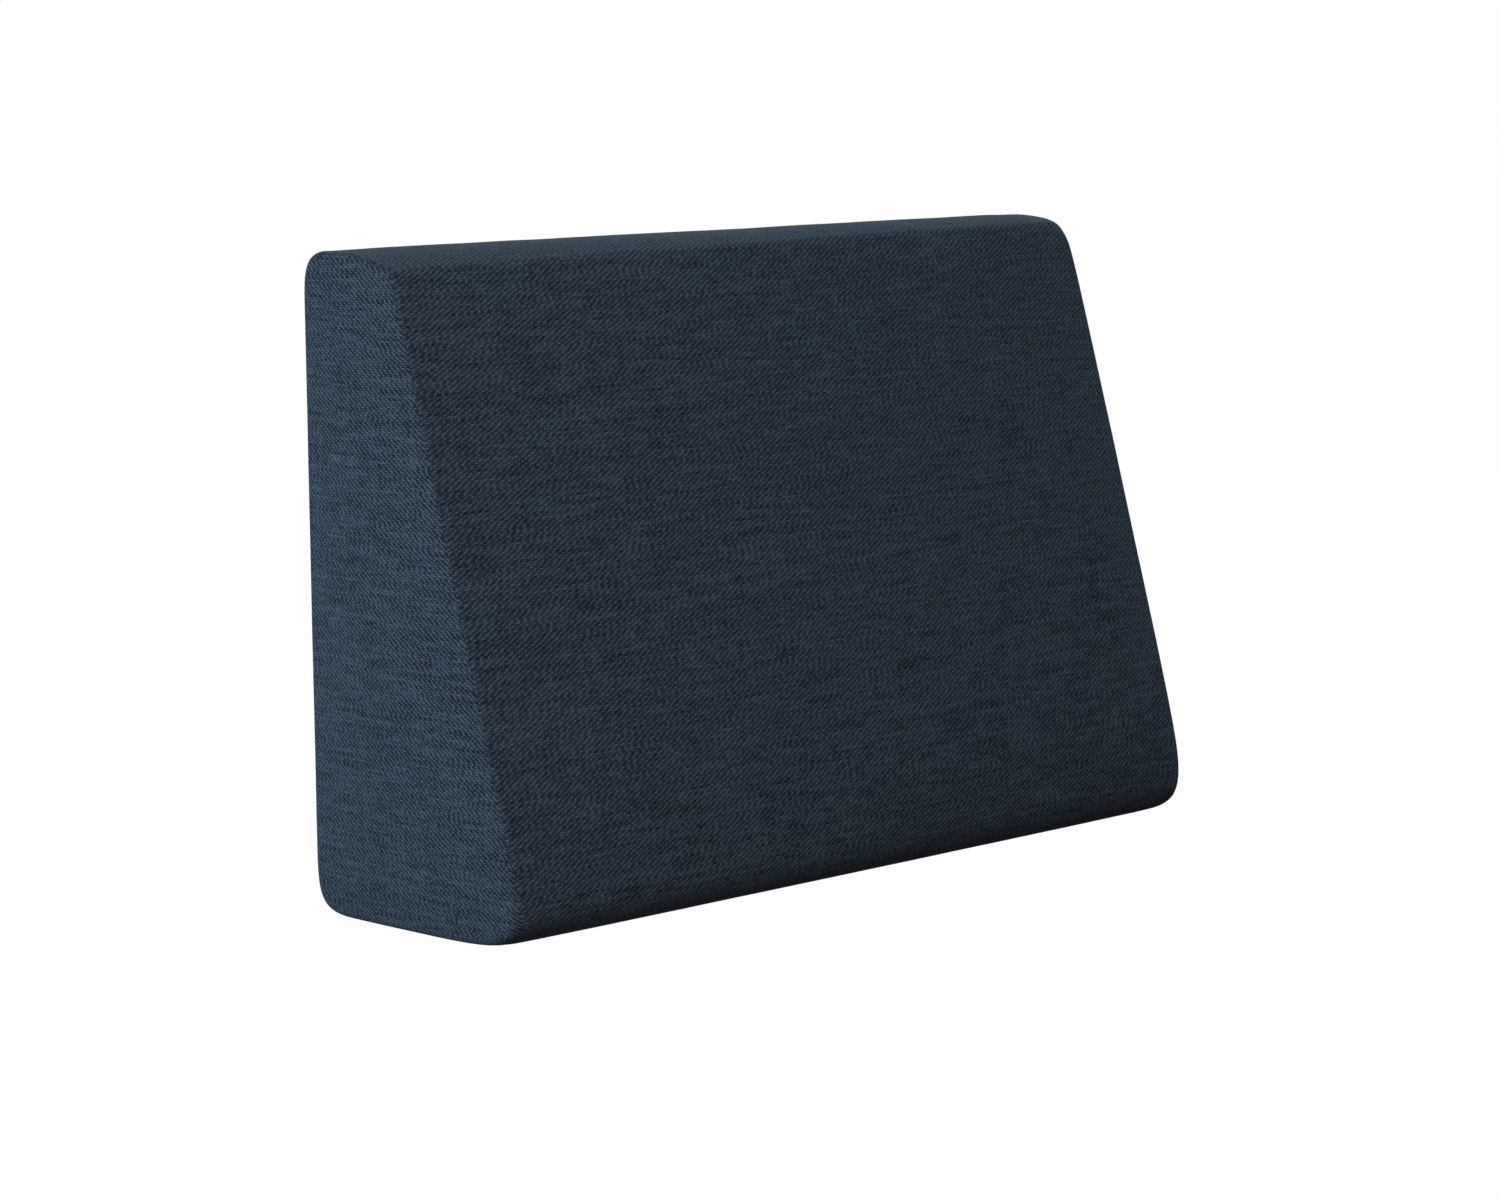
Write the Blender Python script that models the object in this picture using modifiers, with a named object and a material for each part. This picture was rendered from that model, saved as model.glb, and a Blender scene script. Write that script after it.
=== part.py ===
"""Wedge-shaped back cushion for a pallet sofa, standing on its base.

One filled solid in a plain woven cover: an upright back, a narrow top, a front
that slopes out towards the base, and two flat ends. Every face is softly
crowned and every edge is rounded, those of the base most. Metres, +Z up, +X
along the width, the sloping front towards -Y, the base at Z = 0.
"""
import math

import bmesh
import bpy
from mathutils import Vector

# Driving dimensions, between the planes that the faces swell out from
WIDTH = 0.622
HEIGHT = 0.400
BASE_DEPTH = 0.192
TOP_DEPTH = 0.0755

# How far in from each edge its holding loop lies: the edge is round within it
BACK_TOP_HOLD = 0.032
BACK_BOTTOM_HOLD = 0.039
FRONT_BOTTOM_HOLD = 0.068
FRONT_TOP_HOLD = 0.009

# The same for the edges of the two ends; the one at the back is rounder lower down
END_HOLD = 0.010
END_BACK_TOP_HOLD = 0.004
END_BACK_BOTTOM_HOLD = 0.020

# How far the corners at the front are drawn in, along each axis, and how far round them this is felt
TOP_CORNER_IN = 0.0045
BOTTOM_CORNER_IN = 0.003
CORNER_REACH = 0.030

# How far the top falls from the back to the front, at the left end and at the right
TOP_FALL_LEFT = 0.010
TOP_FALL_RIGHT = 0.001

# Crown of each face above its own plane at the middle; the top is arched all along
FRONT_CROWN = 0.008
BACK_CROWN = 0.006
END_CROWN = 0.004
TOP_ARCH = 0.002

# Cage faces along X, Y and Z, the width of an end's ring on the cut cube, and the subdivisions
CAGE_SPANS = (6, 5, 6)
RING_WIDTH = 0.01
SUBDIVISIONS = 2

FABRIC_COLOUR = (0.033, 0.050, 0.076, 1.0)
FABRIC_ROUGHNESS = 0.92

SLOPE_RUN = BASE_DEPTH - TOP_DEPTH
FRONT_NORMAL = Vector((0.0, -HEIGHT, SLOPE_RUN)).normalized()
BACK_Y = BASE_DEPTH / 2


def clear_scene():
    """Remove what the scene holds, so that only the cushion is in it."""
    for thing in list(bpy.data.objects):
        bpy.data.objects.remove(thing, do_unlink=True)


def mix(start, end, share):
    """Value at a share of the way from start to end."""
    return start + (end - start) * share


def crown(share):
    """Swell of a face at a share of its width: 1 in the middle, 0 and level at its edges."""
    return (1.0 - (2.0 * share - 1.0) ** 2) ** 2


def ease(share):
    """Share of the way that starts and ends gently."""
    return share ** 2 * (3.0 - 2.0 * share)


def loop_places(length, start_hold, end_hold, spans):
    """Places of the cage's loops along one edge, closer together at its rounded ends."""
    middle = mix(start_hold, length - end_hold, 0.5)
    inner_start = start_hold + min(start_hold, (middle - start_hold) / 2)
    inner_end = length - end_hold - min(end_hold, (length - end_hold - middle) / 2)
    inner_spans = spans - 4
    inner = [mix(inner_start, inner_end, step / inner_spans) for step in range(inner_spans + 1)]
    return [0.0, start_hold] + inner + [length - end_hold, length]


SPANS_X, SPANS_Y, SPANS_Z = CAGE_SPANS
FRONT_ACROSS = loop_places(WIDTH, END_HOLD, END_HOLD, SPANS_X)
BACK_TOP_ACROSS = loop_places(WIDTH, END_BACK_TOP_HOLD, END_BACK_TOP_HOLD, SPANS_X)
BACK_BOTTOM_ACROSS = loop_places(WIDTH, END_BACK_BOTTOM_HOLD, END_BACK_BOTTOM_HOLD, SPANS_X)
BASE_LOOPS = loop_places(BASE_DEPTH, FRONT_BOTTOM_HOLD, BACK_BOTTOM_HOLD, SPANS_Y)
TOP_LOOPS = loop_places(TOP_DEPTH, FRONT_TOP_HOLD, BACK_TOP_HOLD, SPANS_Y)
FRONT_LOOPS = loop_places(HEIGHT, FRONT_BOTTOM_HOLD, FRONT_TOP_HOLD, SPANS_Z)
BACK_LOOPS = loop_places(HEIGHT, BACK_BOTTOM_HOLD, BACK_TOP_HOLD, SPANS_Z)


def front_y(z):
    """Depth at which the front plane lies at a height."""
    return mix(-BACK_Y, BACK_Y - TOP_DEPTH, z / HEIGHT)


def top_fallen(x, depth_share):
    """Height of the top, as a share of the full height."""
    fall = mix(TOP_FALL_LEFT, TOP_FALL_RIGHT, ease(x / WIDTH + 0.5))
    return 1.0 - fall / HEIGHT * (1.0 - depth_share) ** 2


def wedge_point(column, row, level, within_ring):
    """Place of one cage point on the plane-sided wedge; within an end's ring it lies in from the edges."""
    depth_step = row / SPANS_Y
    z = mix(FRONT_LOOPS[level], BACK_LOOPS[level], depth_step)
    height_share = z / HEIGHT
    back_across = mix(BACK_BOTTOM_ACROSS[column], BACK_TOP_ACROSS[column], height_share)
    x = mix(FRONT_ACROSS[column], back_across, depth_step) - WIDTH / 2
    depth_share = mix(BASE_LOOPS[row] / BASE_DEPTH, TOP_LOOPS[row] / TOP_DEPTH, height_share)
    front_hold = back_hold = 0.0
    if within_ring:
        z = mix(END_HOLD, HEIGHT - END_HOLD, height_share)
        front_hold = END_HOLD
        back_hold = mix(END_BACK_BOTTOM_HOLD, END_BACK_TOP_HOLD, height_share)
    z *= top_fallen(x, depth_share)
    return Vector((x, mix(front_y(z) + front_hold, BACK_Y - back_hold, depth_share), z))


def draw_in(point):
    """Move a cage point in by its nearness to a corner at the front, which makes the corner rounder."""
    side = math.copysign(1.0, point.x)
    for z, inward, upward in ((0.0, BOTTOM_CORNER_IN, 1.0), (HEIGHT, TOP_CORNER_IN, -1.0)):
        corner = Vector((side * WIDTH / 2, front_y(z), z))
        nearness = max(0.0, 1.0 - (point - corner).length / CORNER_REACH)
        point = point + Vector((-side, 1.0, upward)) * inward * nearness ** 2
    return point


def swell(point, column, row, level):
    """Move a cage point out by the crown of each face that it lies on; the base stays flat."""
    height_share = point.z / HEIGHT
    width_share = point.x / WIDTH + 0.5
    depth_share = (point.y - front_y(point.z)) / (BACK_Y - front_y(point.z))
    moved = point.copy()
    if row == 0:
        moved += FRONT_NORMAL * FRONT_CROWN * crown(width_share) * crown(height_share)
    if row == SPANS_Y:
        moved.y += BACK_CROWN * crown(width_share) * crown(height_share)
    if column in (0, SPANS_X):
        side = 1.0 if column else -1.0
        moved.x += side * END_CROWN * crown(depth_share) * crown(height_share)
    if level == SPANS_Z:
        moved.z += TOP_ARCH * 4.0 * depth_share * (1.0 - depth_share)
    return moved


def cut_loops(cage):
    """Cut the unit cube across each axis into the cage's even spans."""
    for axis, spans in enumerate(CAGE_SPANS):
        normal = Vector((0.0, 0.0, 0.0))
        normal[axis] = 1.0
        for step in range(1, spans):
            everything = cage.verts[:] + cage.edges[:] + cage.faces[:]
            place = normal * (step / spans - 0.5)
            bmesh.ops.bisect_plane(cage, geom=everything, plane_co=place, plane_no=normal)


def ring_ends(cage):
    """Put a ring of narrow faces round each end of the cut cube, and return the points within them."""
    within = set()
    for side in (-0.5, 0.5):
        end = [
            face for face in cage.faces
            if all(abs(corner.co.x - side) < RING_WIDTH for corner in face.verts)
        ]
        bmesh.ops.inset_region(cage, faces=end, thickness=RING_WIDTH)
        within.update(corner for face in end for corner in face.verts)
    return within


def cushion_mesh():
    """Coarse cage of the cushion: a cut cube whose points are moved to the wedge."""
    cage = bmesh.new()
    bmesh.ops.create_cube(cage, size=1.0)
    cut_loops(cage)
    within_rings = ring_ends(cage)
    for corner in cage.verts:
        column, row, level = (round((corner.co[axis] + 0.5) * CAGE_SPANS[axis]) for axis in range(3))
        flat = wedge_point(column, row, level, corner in within_rings)
        corner.co = swell(draw_in(flat), column, row, level)
    mesh = bpy.data.meshes.new("cushion")
    cage.to_mesh(mesh)
    cage.free()
    mesh.shade_smooth()
    return mesh


def fabric():
    """Dark blue woven cover."""
    material = bpy.data.materials.new("woven_fabric")
    material.use_nodes = True
    shader = material.node_tree.nodes["Principled BSDF"]
    shader.inputs["Base Color"].default_value = FABRIC_COLOUR
    shader.inputs["Roughness"].default_value = FABRIC_ROUGHNESS
    shader.inputs["Metallic"].default_value = 0.0
    return material


def stand_on_origin(thing):
    """Place an object so that its finished shape stands centred on the origin."""
    bpy.context.view_layer.update()
    finished = thing.evaluated_get(bpy.context.evaluated_depsgraph_get())
    points = [vertex.co for vertex in finished.data.vertices]
    low = [min(point[axis] for point in points) for axis in range(3)]
    high = [max(point[axis] for point in points) for axis in range(3)]
    thing.location = (-mix(low[0], high[0], 0.5), -mix(low[1], high[1], 0.5), -low[2])


def build():
    """Make the cushion in its own collection."""
    clear_scene()
    collection = bpy.data.collections.new("pallet_cushion")
    bpy.context.scene.collection.children.link(collection)
    cushion = bpy.data.objects.new("cushion", cushion_mesh())
    collection.objects.link(cushion)
    cushion.data.materials.append(fabric())
    smooth = cushion.modifiers.new("soft_form", "SUBSURF")
    smooth.levels = SUBDIVISIONS
    smooth.render_levels = SUBDIVISIONS
    stand_on_origin(cushion)


build()
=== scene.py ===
"""Looks of the wedge-shaped back cushion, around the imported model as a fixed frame.

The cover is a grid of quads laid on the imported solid, filled by a short cloth
simulation that its rounded edges and base hold in place, and dressed in a
woven material made of nodes. Metres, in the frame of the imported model.
"""
import math

import bmesh
import bpy
import numpy as np
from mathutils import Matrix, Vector, noise
from mathutils.bvhtree import BVHTree


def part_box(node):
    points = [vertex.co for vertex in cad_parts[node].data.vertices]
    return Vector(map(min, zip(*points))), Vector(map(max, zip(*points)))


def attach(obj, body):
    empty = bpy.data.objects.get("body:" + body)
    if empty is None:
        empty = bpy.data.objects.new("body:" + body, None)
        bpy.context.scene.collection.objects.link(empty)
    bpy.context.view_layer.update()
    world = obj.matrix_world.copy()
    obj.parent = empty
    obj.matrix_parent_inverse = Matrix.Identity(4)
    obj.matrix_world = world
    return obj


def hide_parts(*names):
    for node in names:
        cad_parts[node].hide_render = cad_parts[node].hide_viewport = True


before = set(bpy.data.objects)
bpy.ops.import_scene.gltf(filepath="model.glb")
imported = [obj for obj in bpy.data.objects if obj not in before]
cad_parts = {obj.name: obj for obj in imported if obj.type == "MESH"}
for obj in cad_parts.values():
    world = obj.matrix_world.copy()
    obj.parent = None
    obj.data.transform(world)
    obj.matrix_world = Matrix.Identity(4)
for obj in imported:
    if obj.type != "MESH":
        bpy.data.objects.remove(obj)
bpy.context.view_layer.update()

NODE = "cushion"
BODY = "root"
COVER = "cushion_cover"

# Lengths below this count as none where something is divided by them
NEARLY_ZERO = 1e-9

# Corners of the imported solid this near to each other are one
WELD = 1e-6

# Its faces with a longer side than this stay flat, the others bulge by a share of a full rounding
LONGEST_ROUNDED = 0.1
BULGE = 0.5

# How far its faces look forward or up to count as the front or the top
LOOKS_FORWARD = 0.9
LOOKS_UP = 0.96

# Part of its height that the plane of the front is taken from
FRONT_MIDDLE = (0.4, 0.6)

# Grid of the cover, before it is made finer: its close lines near the edges, and those between
EDGE_SPACING = 0.0024
EDGE_SPANS = 8
MIDDLE_SPANS_X = 84
MIDDLE_SPANS_Y = 10
MIDDLE_SPANS_Z = 53

# How deep in the solid the core lies that the grid is drawn in towards
CORE_DEPTH = 0.035

# How often the grid is settled on the solid, and how far outside it the vertices start each time
SETTLE_ROUNDS = 2
OUTWARD = 0.0004

# Steps of evening out in each round, and once the grid is finer
RELAX_STEPS = 2
FINE_RELAX_STEPS = 1

# Filling of the cover: its pressure, the stiffness of the cloth, and the frames that it takes
PRESSURE = 4.0
STRETCH_STIFFNESS = 4.0
FILL_FRAMES = 20

# How far inside the solid the cloth starts, and how far the filling takes it at most
START_IN = 0.0005
MOST_SWELL = 0.0025

# Angle to a face's own direction, in degrees, up to which cloth is free and beyond which it is held
FREE_WITHIN = 3.0
HELD_BEYOND = 24.0

# How far down the cloth looks where it is held as the base
LOOKS_DOWN = 0.5

# Slight unevenness of the filled cloth: depth and size of the hollows
UNEVEN_DEPTH = 0.0003
UNEVEN_SIZE = 0.055

# Finer hollows: how many times smaller they are, and how deep beside the others
FINER = 2.3
FINER_DEPTH = 0.5

# Share of the hollows' depth that is lost where the cloth is held
HELD_LOSS = 0.7

# Arch that the filling gives the narrow top, and how far from the ends it is full
TOP_ARCH = 0.0015
TOP_ENDS_REACH = 0.05

# How far up the surface looks where the arch begins, and where it is full
TOP_RISES_FROM = 0.5
TOP_RISES_FULLY = 0.95

# The solid's underside counts as flat up to this height
BASE_FLAT_WITHIN = 0.0003

# Radius of the ends' edges, to lay the weave round them
EDGE_RADIUS = 0.007

# Weave: distance from warp to warp on the long panels and on the ends, and from weft to weft
WARP_PITCH = 0.00275
END_WARP_PITCH = 0.00205
WEFT_PITCH = 0.0015

# How far wefts and warps wander, in yarns, and how often in a metre
WEFT_DRIFT = 0.3
WEFT_DRIFTS = 90.0
WARP_SWAY = 0.4
WARP_SWAYS = 140.0

# How far the crossings slide along each weft, and how far the weft tilts there, in yarns
SLIDE = 2.4
TILT = 0.2

# Height of a warp beside a weft
WARP_HEIGHT = 0.35

# Way through the noise from warp to warp and from weft to weft, a short one for long streaks
SLIDE_STEPS = (0.06, 2.618)
WEFT_STEPS = (0.06, 1.618)
SLUB_STEPS = (0.22, 2.236)
WARP_STEPS = (1.618, 0.035)
CLUMP_STEPS = (0.9, 0.8)

# Way through it from the long panels to the ends
END_STEP = 7.0

# Fibres and mottled patches in a metre
FIBRES = 2600.0
MOTTLES = 22.0

# Height of the cloth that has the middle tone
MIDDLE_HEIGHT = 0.42

# How much the height and each unevenness count in the tone; the height paints shade between the yarns
HEIGHT_SHADE_TONE = 1.8
WEFT_TONE = 1.3
SLUB_TONE = 0.8
WARP_TONE = 0.5
CROSSING_TONE = 0.5
CLUMP_TONE = 0.5
FIBRE_TONE = 0.4

# How strong the tones are on the long panels and on the ends
CONTRAST = 0.58
END_CONTRAST = 0.74

# Colours of the cloth from the darkest tone to the lightest, and how far the hue wanders
DARK_BLUE = (0.0048, 0.0104, 0.0208, 1.0)
MIDDLE_BLUE = (0.0317, 0.0522, 0.0790, 1.0)
LIGHT_BLUE = (0.0826, 0.1200, 0.1620, 1.0)
HUE_MOTTLE = 0.05

# Surface of the cloth: roughness and its spread, reflection, and fuzz
ROUGHNESS = 0.9
ROUGHNESS_SPREAD = 0.2
SPECULAR = 0.25
SHEEN = 0.08
SHEEN_ROUGHNESS = 0.4

# Relief of the yarns: its depth and strength, and what uneven wefts and fibres add to it
YARN_RELIEF = 0.00035
RELIEF_STRENGTH = 0.6
WEFT_RELIEF = 0.5
FIBRE_RELIEF = 0.2

# Camera, fitted to the photograph's outline
CAMERA_AIM = Vector((-0.0127, 0.0073, 0.1691))
CAMERA_DISTANCE = 2.7155
CAMERA_AZIMUTH = -46.444
CAMERA_ELEVATION = 7.701
SENSOR_WIDTH = 36.0
LENS = 102.628

# Soft square lamps: where they shine, from how far, and how wide they are
LAMP_AIM = Vector((0.0, 0.0, 0.19))
LAMP_DISTANCE = 2.5
LAMP_SIZE = 1.2

# Name of each lamp, azimuth from +X and elevation in degrees, power in red, green and blue
LAMPS = (
    ("front_lamp", 210, 30, (29.0, 30.0, 31.0)),
    ("left_lamp", 135, 0, (23.9, 32.6, 39.4)),
    ("right_lamp", 0, 30, (12.7, 18.1, 22.5)),
    ("low_lamp", 240, 0, (10.8, 9.3, 8.8)),
    ("back_lamp", 90, 30, (12.6, 18.1, 22.9)),
)

# Light of the sky straight above
SKY_STRENGTH = 0.01

# Floor: a wide disc, dark to the lamps and plain white to the camera
FLOOR_RADIUS = 12.0
FLOOR_CORNERS = 96
FLOOR_COLOUR = (0.04, 0.04, 0.04, 1.0)
WHITE = (1.0, 1.0, 1.0, 1.0)


def mesh_points(mesh):
    """Places of a mesh's vertices, one row each."""
    points = np.empty(len(mesh.vertices) * 3)
    mesh.vertices.foreach_get("co", points)
    return points.reshape(-1, 3)


def mesh_normals(mesh):
    """Smooth directions out of the surface at a mesh's vertices."""
    normals = np.empty(len(mesh.vertices) * 3)
    mesh.vertex_normals.foreach_get("vector", normals)
    return normals.reshape(-1, 3)


def move_points(mesh, points):
    """Put a mesh's vertices at new places."""
    mesh.vertices.foreach_set("co", points.ravel())
    mesh.update()


def edge_ends(mesh):
    """Vertex numbers at the two ends of each edge."""
    ends = np.empty(len(mesh.edges) * 2, dtype=np.int64)
    mesh.edges.foreach_get("vertices", ends)
    return ends.reshape(-1, 2)


def eased(values, low, high):
    """Shares that rise gently from 0 where the values are low to 1 where they are high."""
    share = np.clip((values - low) / (high - low), 0.0, 1.0)
    return share * share * (3.0 - 2.0 * share)


def evened(values, edges, steps):
    """Values at the vertices, each taken towards the mean of its neighbours a number of times."""
    first, second = edges.T
    size = len(values)
    neighbours = np.bincount(first, minlength=size) + np.bincount(second, minlength=size)
    columns = values.reshape(size, -1)
    for _ in range(steps):
        means = [
            (np.bincount(first, column[second], size) + np.bincount(second, column[first], size))
            / neighbours
            for column in columns.T
        ]
        columns = (columns + np.stack(means, axis=1)) / 2
    return columns.reshape(values.shape)


def mean_plane(faces):
    """Direction out of some faces and a point among them, the largest faces counting most."""
    area = sum(face.area for face in faces)
    direction = sum((face.normal * face.area for face in faces), Vector()).normalized()
    return direction, sum((face.center * face.area for face in faces), Vector()) / area


def front_plane(mesh):
    """Plane of the sloping front, from the faces at its middle."""
    low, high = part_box(NODE)
    lowest, highest = FRONT_MIDDLE
    return mean_plane([
        face for face in mesh.polygons
        if face.normal.y < -LOOKS_FORWARD
        and lowest < (face.center.z - low.z) / (high.z - low.z) < highest
    ])


def top_direction(mesh):
    """Direction out of the narrow top."""
    direction, _ = mean_plane([face for face in mesh.polygons if face.normal.z > LOOKS_UP])
    return direction


def corner_directions(points, faces):
    """Direction out of a surface at each vertex, faces with short sides there counting most."""
    total = np.zeros_like(points)
    for corner in range(3):
        here = points[faces[:, corner]]
        first = points[faces[:, (corner + 1) % 3]] - here
        second = points[faces[:, (corner + 2) % 3]] - here
        share = (first ** 2).sum(axis=1) * (second ** 2).sum(axis=1)
        np.add.at(total, faces[:, corner], np.cross(first, second) / share[:, None])
    return total / np.linalg.norm(total, axis=1, keepdims=True)


class SmoothSurface:
    """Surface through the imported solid's vertices, rounded between them as their directions ask."""

    def __init__(self, mesh):
        shell = bmesh.new()
        shell.from_mesh(mesh)
        bmesh.ops.remove_doubles(shell, verts=shell.verts[:], dist=WELD)
        shell.verts.index_update()
        self.tree = BVHTree.FromBMesh(shell)
        self.points = np.array([corner.co[:] for corner in shell.verts])
        self.faces = np.array([[corner.index for corner in face.verts] for face in shell.faces])
        shell.free()
        self.directions = corner_directions(self.points, self.faces)
        corners = self.points[self.faces]
        sides = np.linalg.norm(corners - np.roll(corners, 1, axis=1), axis=2)
        self.rounding = np.where(sides.max(axis=1) < LONGEST_ROUNDED, BULGE, 0.0)

    def nearest(self, points):
        """Places on the surface nearest to some points."""
        found = [self.tree.find_nearest(point) for point in points]
        flat = np.array([place for place, _, _, _ in found])
        face = np.array([index for _, _, index, _ in found])
        corners = self.points[self.faces[face]]
        directions = self.directions[self.faces[face]]
        rooms = np.linalg.norm(np.cross(
            np.roll(corners, -1, axis=1) - flat[:, None],
            np.roll(corners, -2, axis=1) - flat[:, None],
        ), axis=2)
        shares = rooms / rooms.sum(axis=1, keepdims=True)
        above = ((flat[:, None] - corners) * directions).sum(axis=2)
        lift = (directions * (shares * above)[:, :, None]).sum(axis=1)
        return flat - lift * self.rounding[face][:, None]

    def met(self, starts, goals):
        """Places where straight ways from points inside to others outside leave the solid."""
        return np.array([
            self.tree.ray_cast(start, goal - start)[0]
            for start, goal in zip(starts, goals)
        ])


def spread(length, middle_spans):
    """Places from 0 to a length, close together near both ends."""
    edge = np.arange(EDGE_SPANS) * EDGE_SPACING
    reach = EDGE_SPANS * EDGE_SPACING
    middle = np.linspace(reach, length - reach, middle_spans + 1)
    return np.concatenate([edge, middle, length - edge[::-1]])


def box_squares(cells):
    """Corners of all the squares on the six sides of a box of cells, as whole-numbered places."""
    sides = []
    for axis in range(3):
        first, second = (axis + 1) % 3, (axis + 2) % 3
        one, other = np.meshgrid(np.arange(cells[first]), np.arange(cells[second]))
        for end, turn in ((0, -1), (cells[axis], 1)):
            square = np.full((one.size, 4, 3), end)
            for corner, (step, other_step) in enumerate([(0, 0), (1, 0), (1, 1), (0, 1)][::turn]):
                square[:, corner, first] = one.ravel() + step
                square[:, corner, second] = other.ravel() + other_step
            sides.append(square)
    return np.concatenate(sides)


class Grid:
    """Grid over the six sides of a wedge round the solid, its lines close near the edges."""

    def __init__(self, front, on_front):
        low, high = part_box(NODE)

        def front_y(z):
            return on_front.y - front.z * (z - on_front.z) / front.y

        columns = low.x + spread(high.x - low.x, MIDDLE_SPANS_X)
        levels = spread(high.z, MIDDLE_SPANS_Z)
        rows = np.array([edge + spread(high.y - edge, MIDDLE_SPANS_Y) for edge in front_y(levels)])
        self.cells = np.array([len(columns), rows.shape[1], len(levels)]) - 1
        squares = box_squares(self.cells).reshape(-1, 3)
        places, corners = np.unique(squares, axis=0, return_inverse=True)
        self.column, self.row, self.level = places.T
        self.faces = corners.reshape(-1, 4)
        x = columns[self.column]
        y = rows[self.level, self.row]
        z = levels[self.level]
        self.points = np.stack([x, y, z], axis=1)
        core_x = np.clip(x, low.x + CORE_DEPTH, high.x - CORE_DEPTH)
        core_z = np.clip(z, CORE_DEPTH, high.z - CORE_DEPTH)
        core_y = np.clip(y, front_y(core_z) - CORE_DEPTH / front.y, high.y - CORE_DEPTH)
        self.core = np.stack([core_x, core_y, core_z], axis=1)

    def on_end(self):
        """1 within the two ends, a half on their edges, 0 elsewhere."""
        _, last_row, last_level = self.cells
        on_rim = (
            (self.row == 0) | (self.row == last_row)
            | (self.level == 0) | (self.level == last_level)
        )
        at_end = (self.column == 0) | (self.column == self.cells[0])
        return np.where(at_end, np.where(on_rim, 0.5, 1.0), 0.0)

    def around(self):
        """Number of each point on the way up the front, over the top, down the back and under.

        It is -1 for the points inside the ends.
        """
        _, rows, levels = self.cells
        step = np.full(len(self.row), -1)
        step[self.row == 0] = self.level[self.row == 0]
        on_top = self.level == levels
        step[on_top] = levels + self.row[on_top]
        on_back = (self.row == rows) & ~on_top
        step[on_back] = levels + rows + levels - self.level[on_back]
        on_base = (self.level == 0) & ~on_back & (self.row > 0)
        step[on_base] = 2 * levels + 2 * rows - self.row[on_base]
        return step

    def lengths(self, points):
        """Way of each point across the cloth from its middle, and along it from the front's foot.

        It is 0 for the points inside the ends.
        """
        step = self.around()
        wrapped = step >= 0
        columns, rows, levels = self.cells
        rims = np.empty((columns + 1, 2 * (rows + levels), 3))
        rims[self.column[wrapped], step[wrapped]] = points[wrapped]
        across = np.zeros(rims.shape[:2])
        across[1:] = np.linalg.norm(np.diff(rims, axis=0), axis=2).cumsum(axis=0)
        across -= across[columns // 2]
        along = np.zeros(rims.shape[:2])
        along[:, 1:] = np.linalg.norm(np.diff(rims, axis=1), axis=2).cumsum(axis=1)
        total = along[:, -1:] + np.linalg.norm(rims[:, :1] - rims[:, -1:], axis=2)
        under = np.arange(rims.shape[1]) > 2 * levels + rows + rows // 2
        along = np.where(under, along - total, along)
        result = np.zeros((len(points), 2))
        result[wrapped, 0] = across[self.column[wrapped], step[wrapped]]
        result[wrapped, 1] = along[self.column[wrapped], step[wrapped]]
        return result


def cover_of(grid):
    """New object with the faces of a grid."""
    mesh = bpy.data.meshes.new(COVER)
    mesh.from_pydata(grid.points.tolist(), [], grid.faces.tolist())
    cover = bpy.data.objects.new(COVER, mesh)
    bpy.context.scene.collection.objects.link(cover)
    return cover


def settle(mesh, surface, relax_steps):
    """Even out the spacing of the vertices and lay them on the surface, from just outside it."""
    outside = mesh_normals(mesh) * OUTWARD
    points = evened(mesh_points(mesh), edge_ends(mesh), relax_steps)
    move_points(mesh, surface.nearest(points + outside))


def subdivided(cover):
    """Replace the mesh of an object by one with four faces for each."""
    finer = cover.modifiers.new("finer", "SUBSURF")
    finer.levels = 1
    finished = cover.evaluated_get(bpy.context.evaluated_depsgraph_get())
    mesh = bpy.data.meshes.new_from_object(finished)
    cover.modifiers.remove(finer)
    old = cover.data
    cover.data = mesh
    bpy.data.meshes.remove(old)
    mesh.name = COVER


def held_weights(normals, panels):
    """How firmly each vertex is held: not on the faces, fully on the rounded edges and the base."""
    nearness = (normals @ np.array(panels).T).max(axis=1)
    angle = np.degrees(np.arccos(np.clip(nearness, -1.0, 1.0)))
    return np.where(normals[:, 2] < -LOOKS_DOWN, 1.0, eased(angle, FREE_WITHIN, HELD_BEYOND))


def filled_points(cover, held):
    """Places of the vertices after the cloth has been blown up, each held by its own weight."""
    group = cover.vertex_groups.new(name="held")
    for index, weight in enumerate(held):
        group.add([index], weight, "REPLACE")
    filling = cover.modifiers.new("filling", "CLOTH")
    filling.settings.vertex_group_mass = group.name
    filling.settings.use_pressure = True
    filling.settings.uniform_pressure_force = PRESSURE
    filling.settings.tension_stiffness = STRETCH_STIFFNESS
    filling.settings.effector_weights.gravity = 0.0
    filling.collision_settings.use_collision = False
    for step in range(1, FILL_FRAMES + 1):
        bpy.context.scene.frame_set(step)
    depsgraph = bpy.context.evaluated_depsgraph_get()
    points = mesh_points(cover.evaluated_get(depsgraph).data)
    cover.modifiers.remove(filling)
    cover.vertex_groups.remove(group)
    bpy.context.scene.frame_set(1)
    return points


def cloth_swell(cover, held):
    """Way that each vertex goes when the cover is filled, from a slightly smaller start, capped."""
    mesh = cover.data
    surface = mesh_points(mesh)
    start = surface - mesh_normals(mesh) * (START_IN * (1.0 - held))[:, None]
    move_points(mesh, start)
    move = filled_points(cover, held) - start
    distance = np.maximum(np.linalg.norm(move, axis=1, keepdims=True), NEARLY_ZERO)
    capped = move * (MOST_SWELL * np.tanh(distance / MOST_SWELL) / distance)
    move_points(mesh, surface)
    return start + evened(capped, edge_ends(mesh), RELAX_STEPS) - surface


def unevenness(point):
    """Height of the soft hollows at a point, between about -1 and 1."""
    coarse = noise.noise(point / UNEVEN_SIZE)
    fine = noise.noise(point * (FINER / UNEVEN_SIZE))
    return coarse + FINER_DEPTH * fine


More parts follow.
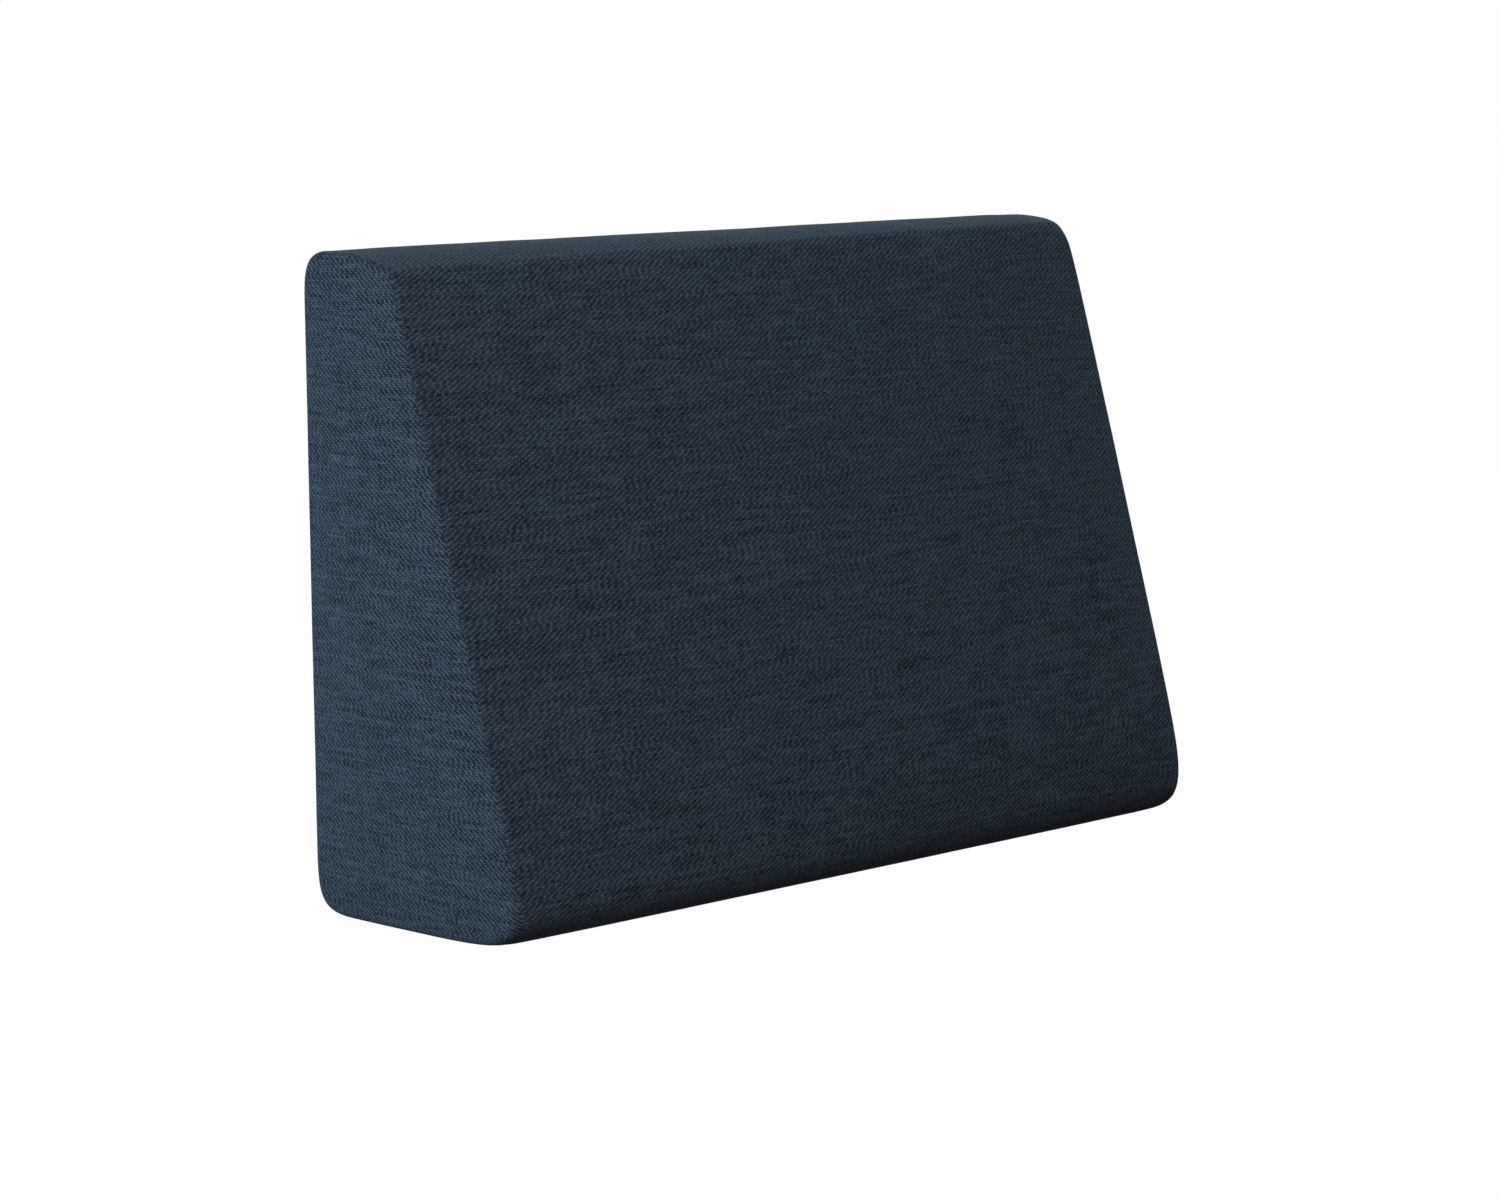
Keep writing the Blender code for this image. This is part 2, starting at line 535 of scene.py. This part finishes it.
def uneven_depths(points, held):
    """Depth of the slight hollows in the cloth at each vertex, least where it is held."""
    depths = np.array([unevenness(Vector(point)) for point in points])
    return depths * UNEVEN_DEPTH * (1.0 - HELD_LOSS * held)


def arched_top(points, normals):
    """Way that the filling lifts each vertex of the top, most a third of the way to the back."""
    upward = eased(normals[:, 2], TOP_RISES_FROM, TOP_RISES_FULLY)
    width = np.abs(points[:, 0])
    within = eased(width.max() - width, 0.0, TOP_ENDS_REACH)
    on_top = upward > 0.5
    front_edge = points[on_top, 1].min()
    depth = points[on_top, 1].max() - front_edge
    share = np.clip((points[:, 1] - front_edge) / depth, 0.0, 1.0)
    # The curve of share times (1 - share) squared is 4 / 27 high, a third of the way
    lift = TOP_ARCH * (27.0 / 4.0) * share * (1.0 - share) ** 2 * upward * within
    return np.column_stack([np.zeros((len(points), 2)), lift])


def flattened_base(points, surface_points):
    """Places with the underside flat on the floor, where the solid's is."""
    lowest = np.where(surface_points[:, 2] < BASE_FLAT_WITHIN, 0.0, points[:, 2])
    return np.column_stack([points[:, :2], np.maximum(lowest, 0.0)])


def store(mesh, name, vectors):
    """Keep a vector at each vertex as a named attribute."""
    mesh.attributes.new(name, "FLOAT_VECTOR", "POINT").data.foreach_set("vector", vectors.ravel())


def stored(mesh, name):
    """Vectors kept at the vertices, one row each."""
    vectors = np.empty(len(mesh.vertices) * 3)
    mesh.attributes[name].data.foreach_get("vector", vectors)
    return vectors.reshape(-1, 3)


def end_places(points, normals):
    """Place of each vertex across and up the ends, with the rounded edges laid flat."""
    turn = np.arccos(np.clip(np.abs(normals[:, 0]), 0.0, 1.0))
    sideways = normals[:, 1:]
    outward = sideways / np.maximum(np.linalg.norm(sideways, axis=1, keepdims=True), NEARLY_ZERO)
    return points[:, 1:] + outward * (EDGE_RADIUS * (turn - np.sin(turn)))[:, None]


class Field:
    """A number that varies over the surface: a node socket with plain arithmetic."""

    tree = None

    def __init__(self, socket):
        self.socket = socket

    @classmethod
    def math(cls, operation, *terms):
        """Result of one Math node."""
        made = cls.tree.nodes.new("ShaderNodeMath")
        made.operation = operation
        for place, term in zip(made.inputs, terms):
            if isinstance(term, Field):
                cls.tree.links.new(term.socket, place)
            else:
                place.default_value = term
        return cls(made.outputs[0])

    def __add__(self, other):
        return Field.math("ADD", self, other)

    def __sub__(self, other):
        return Field.math("SUBTRACT", self, other)

    def __mul__(self, other):
        return Field.math("MULTIPLY", self, other)

    __radd__ = __add__
    __rmul__ = __mul__

    def floor(self):
        """Whole number just below."""
        return Field.math("FLOOR", self)

    def part(self):
        """What is left above the whole number just below."""
        return Field.math("FRACT", self)

    def clamped(self):
        """The number, kept between 0 and 1."""
        return Field.math("MAXIMUM", Field.math("MINIMUM", self, 1.0), 0.0)


def chosen(choice, first, second):
    """Second where the choice is 1, first where it is 0."""
    return first + (second - first) * choice


def at(*fields):
    """Vector socket with three fields as its parts."""
    joined = Field.tree.nodes.new("ShaderNodeCombineXYZ")
    for place, field in zip(joined.inputs, fields):
        Field.tree.links.new(field.socket, place)
    return joined.outputs[0]


def cloud(vector, scale, detail=2.0):
    """Soft noise around zero, about half of it within 0.1 of zero."""
    made = Field.tree.nodes.new("ShaderNodeTexNoise")
    made.noise_dimensions = "3D"
    made.inputs["Scale"].default_value = scale
    made.inputs["Detail"].default_value = detail
    Field.tree.links.new(vector, made.inputs["Vector"])
    return Field(made.outputs["Fac"]) - 0.5


def scatter(vector):
    """A number from 0 to 1 that differs at random from one whole-numbered place to the next."""
    made = Field.tree.nodes.new("ShaderNodeTexWhiteNoise")
    made.noise_dimensions = "3D"
    Field.tree.links.new(vector, made.inputs["Vector"])
    return Field(made.outputs["Value"])


def stored_vector(name):
    """Vector socket with what is kept at the vertices under a name."""
    kept = Field.tree.nodes.new("ShaderNodeAttribute")
    kept.attribute_name = name
    return kept.outputs["Vector"]


def split(vector):
    """The three parts of a vector socket."""
    parts = Field.tree.nodes.new("ShaderNodeSeparateXYZ")
    Field.tree.links.new(vector, parts.inputs[0])
    return [Field(socket) for socket in parts.outputs]


def waves(places):
    """Rise and fall along a yarn as it passes over and under its neighbours."""
    return Field.math("SINE", places * math.pi)


def sign(numbers):
    """1 for even whole numbers, -1 for odd ones."""
    return Field.math("COSINE", numbers * math.pi)


def rounded(share):
    """Round back of a yarn: 1 at its middle, 0 at its sides."""
    offset = share * 2.0 - 1.0
    return Field.math("SUBTRACT", 1.0, offset * offset).clamped()


class Weave:
    """Plain weave over the cover.

    Places along it are counted in yarns, as wefts and as warps, and their whole parts number
    the weft and the warp that cross there.
    """

    def __init__(self):
        across, along, end_share = split(stored_vector("weave"))
        end_across, end_up, _ = split(stored_vector("end_weave"))
        self.place = Field.tree.nodes.new("ShaderNodeTexCoord").outputs["Object"]
        self.on_end = Field.math("GREATER_THAN", end_share, 0.5)

        drift = cloud(self.place, WEFT_DRIFTS)
        sway = cloud(self.place, WARP_SWAYS)
        rows = chosen(self.on_end, along, end_up) * (1.0 / WEFT_PITCH)
        self.wefts = rows + drift * WEFT_DRIFT
        self.weft = self.wefts.floor()

        columns = across * (1.0 / WARP_PITCH)
        end_columns = end_across * (1.0 / END_WARP_PITCH)
        straight = chosen(self.on_end, columns, end_columns) + sway * WARP_SWAY
        self.warps = straight + self.cloud_over(straight, self.weft, SLIDE_STEPS) * SLIDE
        self.warp = self.warps.floor()

    def cloud_over(self, warps, wefts, steps):
        """Soft noise over places counted in yarns, another one on the ends."""
        warp_step, weft_step = steps
        places = at(warps * warp_step, wefts * weft_step, self.on_end * END_STEP)
        return cloud(places, 1.0, detail=1.0)

    def height(self):
        """Height of the cloth, each weft passing over one warp and under the next."""
        side = sign(self.weft)
        tilt = Field.math("COSINE", self.warps * math.pi) * side * TILT
        weft_over = waves(self.warps) * side * 0.5 + 0.5
        warp_over = waves(self.wefts) * sign(self.warp) * -0.5 + 0.5
        weft_height = rounded(self.wefts.part() + tilt) * weft_over
        warp_height = rounded(self.warps.part()) * warp_over * WARP_HEIGHT
        return Field.math("MAXIMUM", weft_height, warp_height)

    def tone(self, height, weft_yarns, fibres):
        """Share from the darkest tone to the lightest: painted shade where the cloth is low between
        the yarns, and the yarns' own tone, uneven from yarn to yarn and along each.
        """
        slubs = self.cloud_over(self.warps, self.weft, SLUB_STEPS)
        warp_yarns = self.cloud_over(self.warp, self.wefts, WARP_STEPS)
        crossings = scatter(at(self.warp, self.weft, self.on_end)) - 0.5
        clumps = self.cloud_over(self.warps, self.wefts, CLUMP_STEPS)
        tone = (
            # The height's share is painted shade: darker between the yarns, lighter on their tops
            (height - MIDDLE_HEIGHT) * HEIGHT_SHADE_TONE
            + weft_yarns * WEFT_TONE
            + slubs * SLUB_TONE
            + warp_yarns * WARP_TONE
            + crossings * CROSSING_TONE
            + clumps * CLUMP_TONE
            + fibres * FIBRE_TONE
        )
        return (tone * chosen(self.on_end, CONTRAST, END_CONTRAST) + 0.5).clamped()


def thread_colour(tone, mottle):
    """Colour socket of the cloth for a tone, its hue wandering a little."""
    ramp = Field.tree.nodes.new("ShaderNodeValToRGB")
    darkest, lightest = ramp.color_ramp.elements
    darkest.position = 0.0
    darkest.color = DARK_BLUE
    lightest.position = 1.0
    lightest.color = LIGHT_BLUE
    middle = ramp.color_ramp.elements.new(0.5)
    middle.color = MIDDLE_BLUE
    Field.tree.links.new(tone.socket, ramp.inputs["Fac"])
    hue = Field.tree.nodes.new("ShaderNodeHueSaturation")
    Field.tree.links.new(ramp.outputs["Color"], hue.inputs["Color"])
    Field.tree.links.new((mottle * HUE_MOTTLE + 0.5).socket, hue.inputs["Hue"])
    return hue.outputs["Color"]


def relief(height):
    """Direction socket of a surface with this relief."""
    bump = Field.tree.nodes.new("ShaderNodeBump")
    bump.inputs["Strength"].default_value = RELIEF_STRENGTH
    bump.inputs["Distance"].default_value = YARN_RELIEF
    Field.tree.links.new(height.socket, bump.inputs["Height"])
    return bump.outputs["Normal"]


def weave_material():
    """Dark blue cloth in plain weave, each yarn and each crossing a little different, with painted
    shade between the yarns.
    """
    material = bpy.data.materials.new("woven_cover")
    material.use_nodes = True
    tree = material.node_tree
    Field.tree = tree
    weave = Weave()
    height = weave.height()
    weft_yarns = weave.cloud_over(weave.warps, weave.weft, WEFT_STEPS)
    fibres = cloud(weave.place, FIBRES, detail=1.0)
    colour = thread_colour(weave.tone(height, weft_yarns, fibres), cloud(weave.place, MOTTLES))
    roughness = (fibres * ROUGHNESS_SPREAD + ROUGHNESS).clamped()
    normal = relief(height + weft_yarns * WEFT_RELIEF + fibres * FIBRE_RELIEF)

    shader = tree.nodes["Principled BSDF"]
    tree.links.new(colour, shader.inputs["Base Color"])
    tree.links.new(roughness.socket, shader.inputs["Roughness"])
    tree.links.new(normal, shader.inputs["Normal"])
    shader.inputs["Specular IOR Level"].default_value = SPECULAR
    shader.inputs["Sheen Weight"].default_value = SHEEN
    shader.inputs["Sheen Roughness"].default_value = SHEEN_ROUGHNESS
    return material


def laid_cover(surface, front, on_front):
    """Object with the grid laid on the solid, each vertex marked with its place in the weave."""
    grid = Grid(front, on_front)
    cover = cover_of(grid)
    mesh = cover.data
    move_points(mesh, surface.met(grid.core, grid.points))
    for _ in range(SETTLE_ROUNDS):
        settle(mesh, surface, RELAX_STEPS)
    store(mesh, "weave", np.column_stack([grid.lengths(mesh_points(mesh)), grid.on_end()]))
    return cover


def finish_form(mesh, panels):
    """Move the vertices from the solid to the filled form, and mark the weave of the ends."""
    points = mesh_points(mesh)
    normals = mesh_normals(mesh)
    hollows = normals * uneven_depths(points, held_weights(normals, panels))[:, None]
    moved = points + stored(mesh, "swell") + arched_top(points, normals) + hollows
    mesh.attributes.remove(mesh.attributes["swell"])
    move_points(mesh, flattened_base(moved, points))
    store(mesh, "end_weave", np.column_stack([end_places(points, normals), np.zeros(len(points))]))


def make_cover():
    """Make the filled, woven cover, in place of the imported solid."""
    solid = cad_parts[NODE].data
    front, on_front = front_plane(solid)
    panels = (front, top_direction(solid), (0, 1, 0), (1, 0, 0), (-1, 0, 0))
    surface = SmoothSurface(solid)
    cover = laid_cover(surface, front, on_front)
    held = held_weights(mesh_normals(cover.data), panels)
    store(cover.data, "swell", cloth_swell(cover, held))
    subdivided(cover)
    settle(cover.data, surface, FINE_RELAX_STEPS)
    finish_form(cover.data, panels)
    cover.data.shade_smooth()
    cover.data.materials.append(weave_material())
    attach(cover, BODY)
    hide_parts(NODE)


def make_floor():
    """Plain pale floor, which neither shades the cushion nor throws light back on it."""
    bpy.ops.mesh.primitive_circle_add(vertices=FLOOR_CORNERS, radius=FLOOR_RADIUS, fill_type="NGON")
    floor = bpy.context.object
    floor.name = "floor"
    floor.visible_diffuse = False
    floor.visible_glossy = False
    floor.visible_shadow = False
    material = bpy.data.materials.new("pale_floor")
    material.use_nodes = True
    material.cycles.emission_sampling = "NONE"
    shader = material.node_tree.nodes["Principled BSDF"]
    shader.inputs["Base Color"].default_value = FLOOR_COLOUR
    shader.inputs["Roughness"].default_value = 1.0
    shader.inputs["Specular IOR Level"].default_value = 0.0
    shader.inputs["Emission Color"].default_value = WHITE
    shader.inputs["Emission Strength"].default_value = 1.0
    floor.data.materials.append(material)


def light_sky():
    """Soft light from all round, strongest from above; the camera sees plain white."""
    world = bpy.data.worlds.new("soft_sky")
    bpy.context.scene.world = world
    world.use_nodes = True
    tree = world.node_tree
    tree.nodes.clear()
    direction = tree.nodes.new("ShaderNodeTexCoord")
    parts = tree.nodes.new("ShaderNodeSeparateXYZ")
    strength = tree.nodes.new("ShaderNodeMapRange")
    strength.inputs["From Min"].default_value = -1.0
    strength.inputs["From Max"].default_value = 1.0
    strength.inputs["To Min"].default_value = 0.0
    strength.inputs["To Max"].default_value = SKY_STRENGTH
    soft = tree.nodes.new("ShaderNodeBackground")
    soft.inputs["Color"].default_value = WHITE
    plain = tree.nodes.new("ShaderNodeBackground")
    plain.inputs["Color"].default_value = WHITE
    plain.inputs["Strength"].default_value = 1.0
    seen = tree.nodes.new("ShaderNodeLightPath")
    either = tree.nodes.new("ShaderNodeMixShader")
    output = tree.nodes.new("ShaderNodeOutputWorld")
    tree.links.new(direction.outputs["Generated"], parts.inputs[0])
    tree.links.new(parts.outputs["Z"], strength.inputs["Value"])
    tree.links.new(strength.outputs["Result"], soft.inputs["Strength"])
    tree.links.new(seen.outputs["Is Camera Ray"], either.inputs["Fac"])
    tree.links.new(soft.outputs["Background"], either.inputs[1])
    tree.links.new(plain.outputs["Background"], either.inputs[2])
    tree.links.new(either.outputs["Shader"], output.inputs["Surface"])


def soft_lamp(name, azimuth, elevation, power):
    """Square soft lamp that shines at the cushion, with its power in red, green and blue.

    The azimuth is measured from +X towards +Y, both angles in degrees.
    """
    lamp = bpy.data.lights.new(name, "AREA")
    lamp.shape = "SQUARE"
    lamp.size = LAMP_SIZE
    lamp.energy = max(power)
    lamp.color = [share / max(power) for share in power]
    holder = bpy.data.objects.new(name, lamp)
    bpy.context.scene.collection.objects.link(holder)
    around = math.radians(azimuth)
    above = math.radians(elevation)
    direction = Vector((
        math.cos(around) * math.cos(above),
        math.sin(around) * math.cos(above),
        math.sin(above),
    ))
    holder.location = LAMP_AIM + direction * LAMP_DISTANCE
    holder.rotation_euler = direction.to_track_quat("Z", "Y").to_euler()


def make_camera():
    """Camera at the photograph's viewing angle."""
    camera = bpy.data.objects.new("camera", bpy.data.cameras.new("camera"))
    bpy.context.scene.collection.objects.link(camera)
    azimuth = math.radians(CAMERA_AZIMUTH)
    elevation = math.radians(CAMERA_ELEVATION)
    back = Vector((
        math.sin(azimuth) * math.cos(elevation),
        -math.cos(azimuth) * math.cos(elevation),
        math.sin(elevation),
    ))
    camera.location = CAMERA_AIM + back * CAMERA_DISTANCE
    camera.rotation_euler = back.to_track_quat("Z", "Y").to_euler()
    camera.data.sensor_width = SENSOR_WIDTH
    camera.data.lens = LENS
    bpy.context.scene.camera = camera


make_camera()
make_cover()
make_floor()
light_sky()
for lamp in LAMPS:
    soft_lamp(*lamp)
bpy.context.scene.view_settings.view_transform = "Standard"
